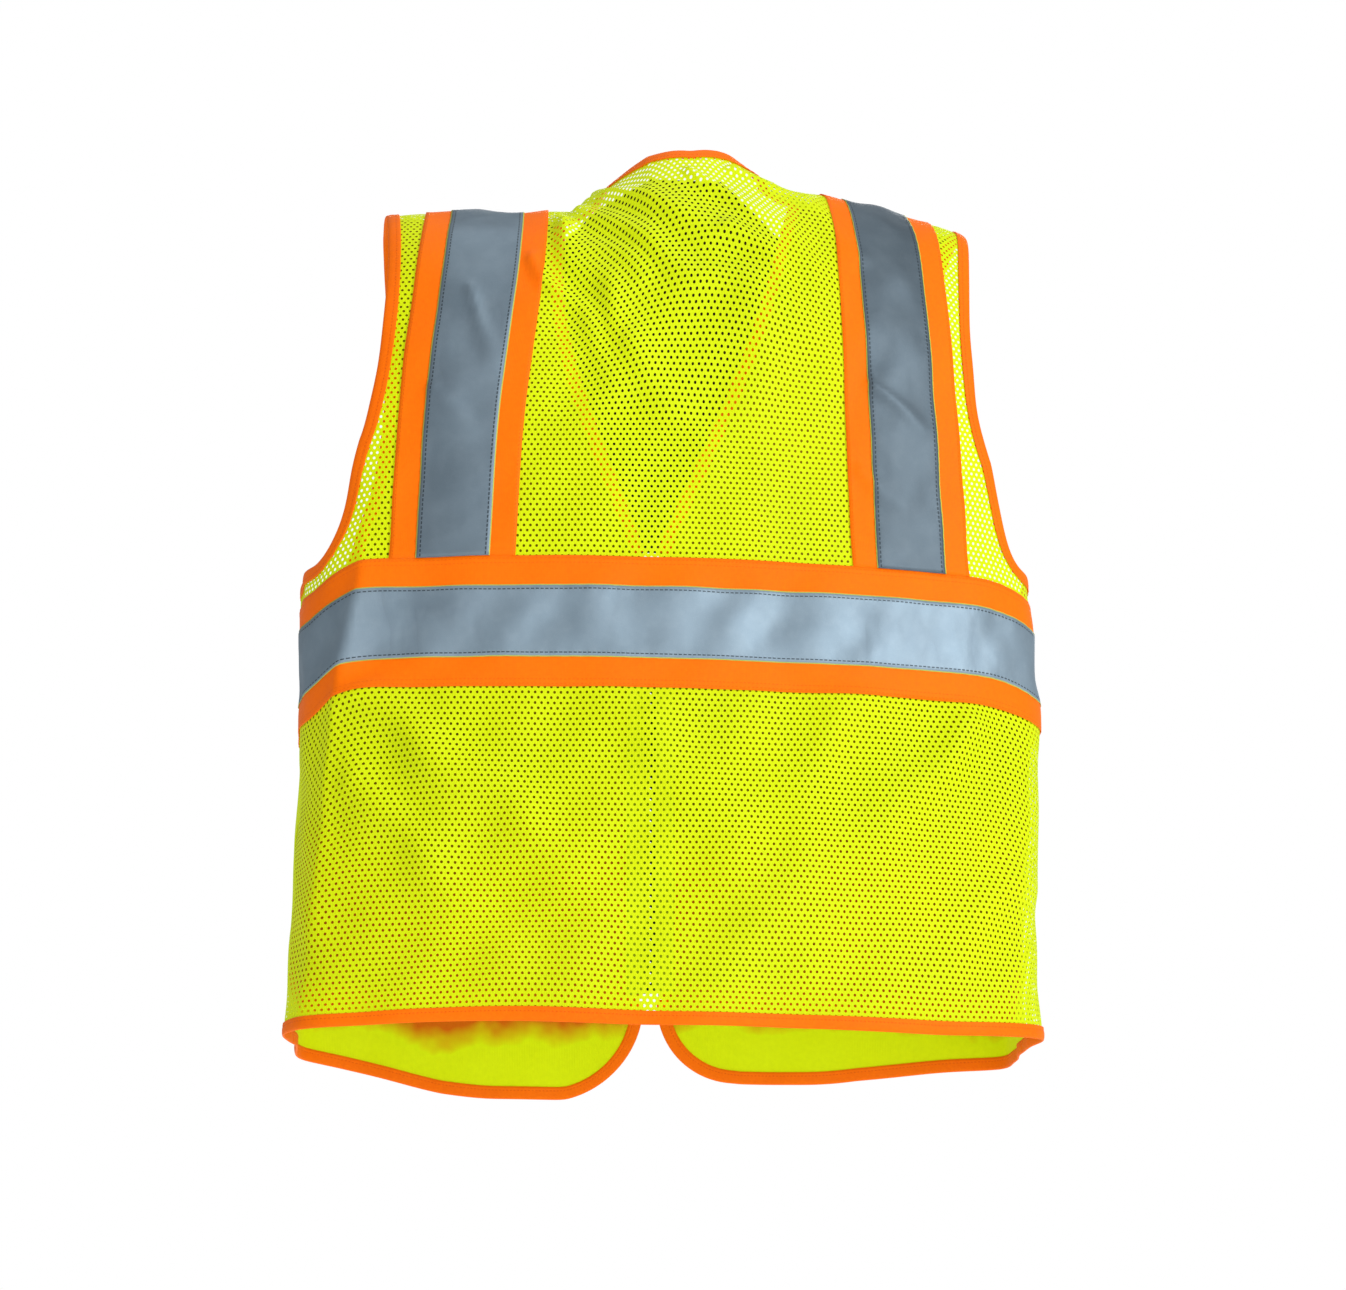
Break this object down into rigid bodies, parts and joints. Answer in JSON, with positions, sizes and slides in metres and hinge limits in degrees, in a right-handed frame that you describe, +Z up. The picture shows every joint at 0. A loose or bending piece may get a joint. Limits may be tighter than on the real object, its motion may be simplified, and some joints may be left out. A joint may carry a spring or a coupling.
{
  "type": "high visibility vest",
  "caption": "Sleeveless high visibility safety vest with a mesh back, solid zipped fronts, pockets with flaps and reflective tape on contrast bands.",
  "frame": {"origin": "midway between the two shoulders at the height of the neck points, where the shoulder seams start", "axes": "+Z up, the wearer faces -Y, the wearer's left is +X"},
  "size_m": [0.5126, 0.242, 0.6463],
  "materials": {
    "lime_mesh": "open knit polyester mesh, matt",
    "lime_solid": "close knit polyester, matt with a slight sheen",
    "orange_trim": "woven contrast trim, matt",
    "orange_binding": "folded binding tape, matt",
    "silver_tape": "retroreflective glass bead tape, satin",
    "zipper_cloth": "woven zipper tape, matt",
    "zipper_plastic": "moulded acetal, satin",
    "slider_paint": "black enamel over zinc alloy",
    "hook_and_loop": "nylon hook and loop tape",
    "webbing": "woven nylon webbing"
  },
  "bodies": {
    "garment": {"back_panel": "lime_mesh", "left_front_panel": "lime_solid", "right_front_panel": "lime_solid", "left_lower_pocket": "lime_solid", "right_lower_pocket": "lime_solid", "radio_pocket": "lime_solid", "pen_pocket": "lime_solid", "left_back_strap_trim": "orange_trim", "right_back_strap_trim": "orange_trim", "left_front_strap_trim": "orange_trim", "right_front_strap_trim": "orange_trim", "back_waist_trim": "orange_trim", "left_waist_trim": "orange_trim", "right_waist_trim": "orange_trim", "neck_binding": "orange_binding", "left_armhole_binding": "orange_binding", "right_armhole_binding": "orange_binding", "back_hem_binding": "orange_binding", "left_front_hem_binding": "orange_binding", "right_front_hem_binding": "orange_binding", "left_back_strap_tape": "silver_tape", "right_back_strap_tape": "silver_tape", "left_front_strap_tape": "silver_tape", "right_front_strap_tape": "silver_tape", "back_waist_tape": "silver_tape", "left_waist_tape": "silver_tape", "right_waist_tape": "silver_tape", "left_zipper_tape": "zipper_cloth", "right_zipper_tape": "zipper_cloth", "left_zipper_teeth": "zipper_plastic", "right_zipper_teeth": "zipper_plastic", "left_zipper_top_stop": "zipper_plastic", "right_zipper_top_stop": "zipper_plastic", "zipper_retainer_box": "zipper_plastic", "zipper_insertion_pin": "zipper_plastic", "left_lower_pocket_loop": "hook_and_loop", "right_lower_pocket_loop": "hook_and_loop", "radio_pocket_loop": "hook_and_loop", "left_microphone_tab": "webbing", "right_microphone_tab": "webbing"},
    "slider": {"zipper_slider": "slider_paint"},
    "pull": {"zipper_pull": "slider_paint"},
    "left_pocket_flap": {"left_lower_pocket_flap": "lime_solid", "left_lower_pocket_flap_hook": "hook_and_loop"},
    "right_pocket_flap": {"right_lower_pocket_flap": "lime_solid", "right_lower_pocket_flap_hook": "hook_and_loop"},
    "radio_flap": {"radio_pocket_flap": "lime_solid", "radio_pocket_flap_hook": "hook_and_loop"}
  },
  "joints": [
    {"name": "zipper_slide", "type": "slide", "parent": "garment", "child": "slider", "axis": [0, 0, -1], "range_m": [0, 0.3]},
    {"name": "pull_swing", "type": "hinge", "parent": "slider", "child": "pull", "pos_m": [0, -0.1181, -0.2421], "axis": [-1, 0, 0], "range_deg": [0, 170]},
    {"name": "left_pocket_flap_lift", "type": "hinge", "parent": "garment", "child": "left_pocket_flap", "pos_m": [0.125, -0.11975, -0.424], "axis": [-1, 0, 0], "range_deg": [0, 150]},
    {"name": "right_pocket_flap_lift", "type": "hinge", "parent": "garment", "child": "right_pocket_flap", "pos_m": [-0.125, -0.11975, -0.424], "axis": [-1, 0, 0], "range_deg": [0, 150]},
    {"name": "radio_flap_lift", "type": "hinge", "parent": "garment", "child": "radio_flap", "pos_m": [0.143, -0.12125, -0.148], "axis": [-1, 0, 0], "range_deg": [0, 150]}
  ]
}
